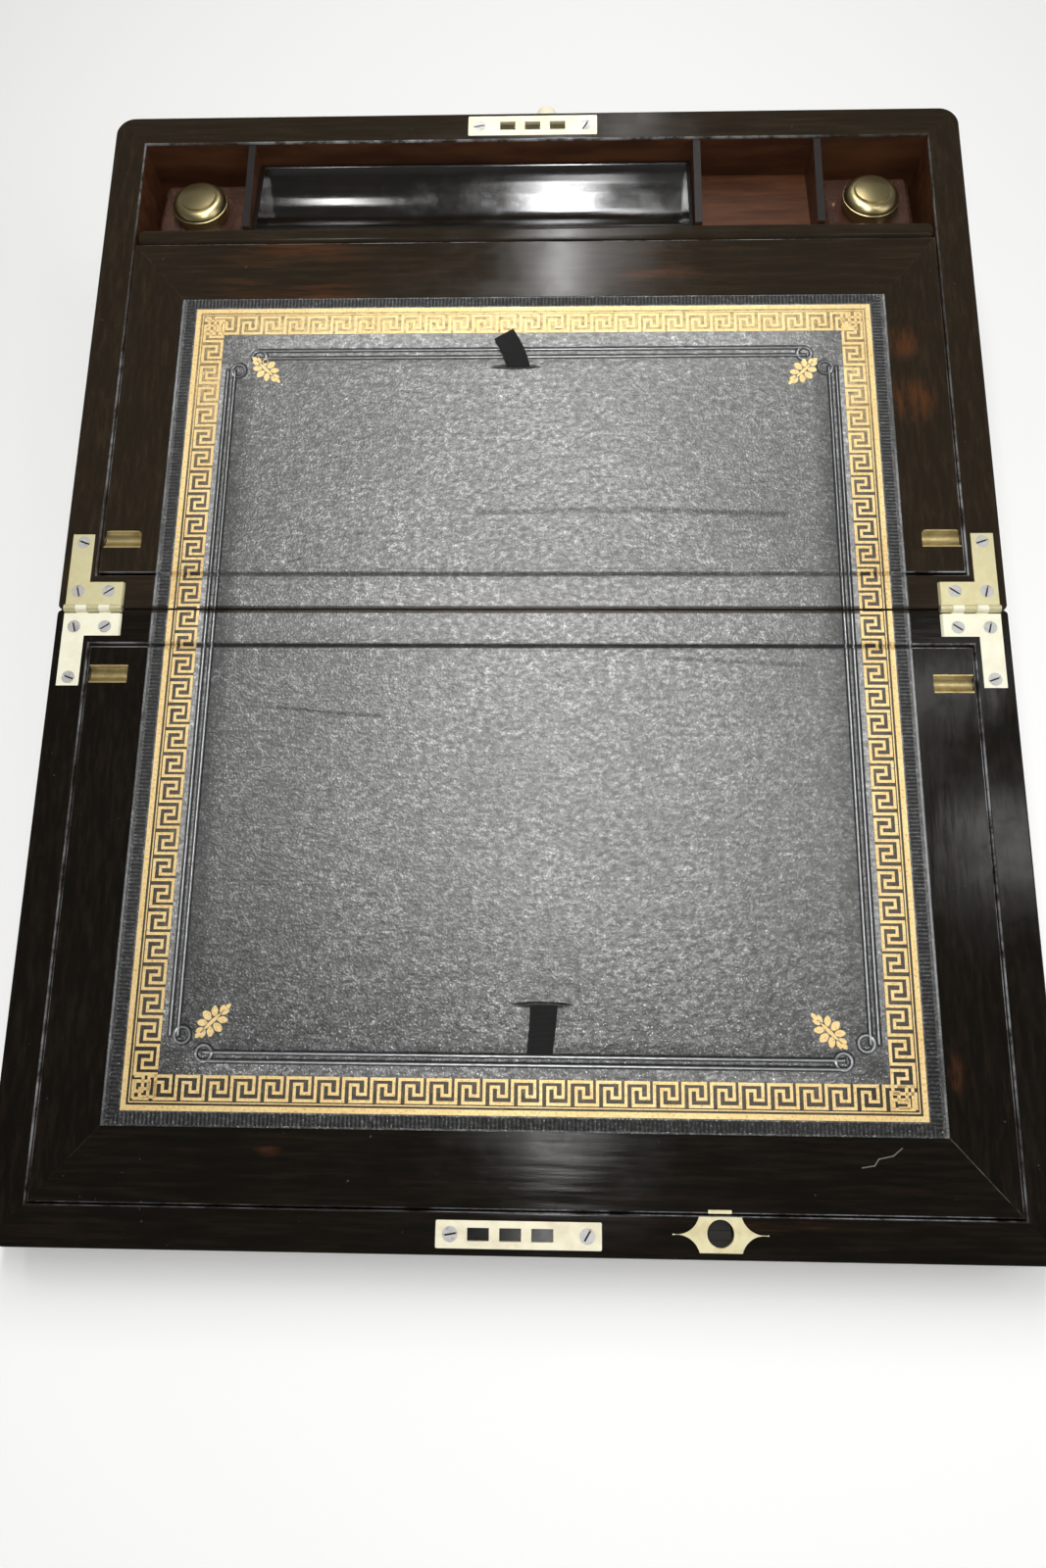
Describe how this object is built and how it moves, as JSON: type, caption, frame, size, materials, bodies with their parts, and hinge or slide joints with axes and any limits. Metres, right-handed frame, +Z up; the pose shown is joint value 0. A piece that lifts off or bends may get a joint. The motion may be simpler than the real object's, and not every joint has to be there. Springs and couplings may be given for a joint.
{
  "type": "writing slope",
  "caption": "Box cut on the slant that opens flat into one long leathered writing slope, with flaps over its stores, inkwells, a lift-out pen tray and a claw lock.",
  "frame": {"origin": "the middle of the underside of the open box, halfway between the shallow half's outer face and the tip of the key nozzle", "axes": "+Z up, +Y towards the lock wall of the deep half, +X to the right of a person who writes at it"},
  "size_m": [0.406, 0.5206, 0.1161],
  "materials": {
    "coromandel": "near-black streaked hardwood, polished",
    "inner_wood": "reddish-brown hardwood, waxed",
    "writing_leather": "charcoal pebbled leather with gilt and blind tooling",
    "ribbon": "woven ribbon",
    "polished_brass": "polished",
    "steel": "dulled steel",
    "bottle_glass": "clear"
  },
  "bodies": {
    "base": {"base_lock_wall": "coromandel", "base_hinge_wall": "coromandel", "base_left_wall": "coromandel", "base_right_wall": "coromandel", "base_bottom_board": "coromandel", "pen_section_divider": "inner_wood", "pen_section_rail": "coromandel", "pen_section_floor": "inner_wood", "inkwell_partition_left": "inner_wood", "inkwell_partition_right": "inner_wood", "well_partition": "inner_wood", "well_floor": "inner_wood", "pen_tray_bearers": "inner_wood", "base_flap_bearers": "inner_wood", "base_leather_strip": "writing_leather", "lock_case": "polished_brass", "lock_plate": "polished_brass", "lock_plate_screws": "steel", "key_nozzle": "polished_brass", "base_hinge_leaves": "polished_brass", "hinge_pins": "steel", "base_hinge_screws": "steel"},
    "lid": {"lid_lock_wall": "coromandel", "lid_hinge_wall": "coromandel", "lid_left_wall": "coromandel", "lid_right_wall": "coromandel", "lid_top_board": "coromandel", "lid_flap_bearers": "inner_wood", "lid_leather_strip": "writing_leather", "striker_plate": "polished_brass", "striker_plate_screws": "steel", "catch_plate": "polished_brass", "catch_rivet": "polished_brass", "catch_spring": "polished_brass", "lid_hinge_leaves": "polished_brass", "lid_hinge_screws": "steel"},
    "base_flap": {"base_flap_frame": "coromandel", "base_flap_panel": "inner_wood", "base_flap_leather": "writing_leather", "base_flap_ribbon": "ribbon", "base_flap_troughs": "polished_brass"},
    "lid_flap": {"lid_flap_frame": "coromandel", "lid_flap_panel": "inner_wood", "lid_flap_leather": "writing_leather", "lid_flap_ribbon": "ribbon", "lid_flap_troughs": "polished_brass", "catch_strike": "polished_brass"},
    "catch": {"catch_bolt": "steel"},
    "tray": {"pen_tray": "coromandel"},
    "inkwell_left": {"inkwell_bottle_left": "bottle_glass", "inkwell_collar_left": "polished_brass"},
    "inkwell_right": {"inkwell_bottle_right": "bottle_glass", "inkwell_collar_right": "polished_brass"},
    "cap_left": {"inkwell_cap_left": "polished_brass"},
    "cap_right": {"inkwell_cap_right": "polished_brass"},
    "key_barrel": {"key_barrel": "polished_brass"},
    "claw_left": {"lock_claw_left": "steel"},
    "claw_middle": {"lock_claw_middle": "steel"},
    "claw_right": {"lock_claw_right": "steel"}
  },
  "joints": [
    {"name": "lid_fold", "type": "hinge", "parent": "base", "child": "lid", "pos_m": [0, -0.00603, 0.0762], "axis": [1, 0, 0], "range_deg": [-180, 0]},
    {"name": "base_flap_lift", "type": "hinge", "parent": "base", "child": "base_flap", "pos_m": [0, 0.01042, 0.07779], "axis": [1, 0, 0], "range_deg": [0, 90]},
    {"name": "lid_flap_lift", "type": "hinge", "parent": "lid", "child": "lid_flap", "pos_m": [0, -0.02217, 0.07263], "axis": [-1, 0, 0], "range_deg": [0, 90]},
    {"name": "catch_slide", "type": "slide", "parent": "lid", "child": "catch", "axis": [0, 0.9877, 0.1564], "range_m": [0, 0.0024]},
    {"name": "pen_tray_lift", "type": "slide", "parent": "base", "child": "tray", "axis": [0, 0, 1], "range_m": [0, 0.03]},
    {"name": "inkwell_left_lift", "type": "slide", "parent": "base", "child": "inkwell_left", "axis": [0, 0, 1], "range_m": [0, 0.06]},
    {"name": "inkwell_right_lift", "type": "slide", "parent": "base", "child": "inkwell_right", "axis": [0, 0, 1], "range_m": [0, 0.06]},
    {"name": "cap_left_lift", "type": "slide", "parent": "inkwell_left", "child": "cap_left", "axis": [0, 0, 1], "range_m": [0, 0.03]},
    {"name": "cap_right_lift", "type": "slide", "parent": "inkwell_right", "child": "cap_right", "axis": [0, 0, 1], "range_m": [0, 0.03]},
    {"name": "key_turn", "type": "hinge", "parent": "base", "child": "key_barrel", "pos_m": [0.0065, 0.24094, 0.10661], "axis": [0, -1, 0], "range_deg": [0, 97]},
    {"name": "claw_left_swing", "type": "hinge", "parent": "base", "child": "claw_left", "pos_m": [-0.0204, 0.24094, 0.11111], "axis": [0, -1, 0], "range_deg": [0, 97]},
    {"name": "claw_middle_swing", "type": "hinge", "parent": "base", "child": "claw_middle", "pos_m": [-0.0084, 0.24094, 0.11111], "axis": [0, -1, 0], "range_deg": [0, 97]},
    {"name": "claw_right_swing", "type": "hinge", "parent": "base", "child": "claw_right", "pos_m": [0.0036, 0.24094, 0.11111], "axis": [0, -1, 0], "range_deg": [0, 97]}
  ],
  "couplings": [
    {"joint": "claw_left_swing", "follows": "key_turn", "ratio": 1},
    {"joint": "claw_middle_swing", "follows": "key_turn", "ratio": 1},
    {"joint": "claw_right_swing", "follows": "key_turn", "ratio": 1}
  ]
}
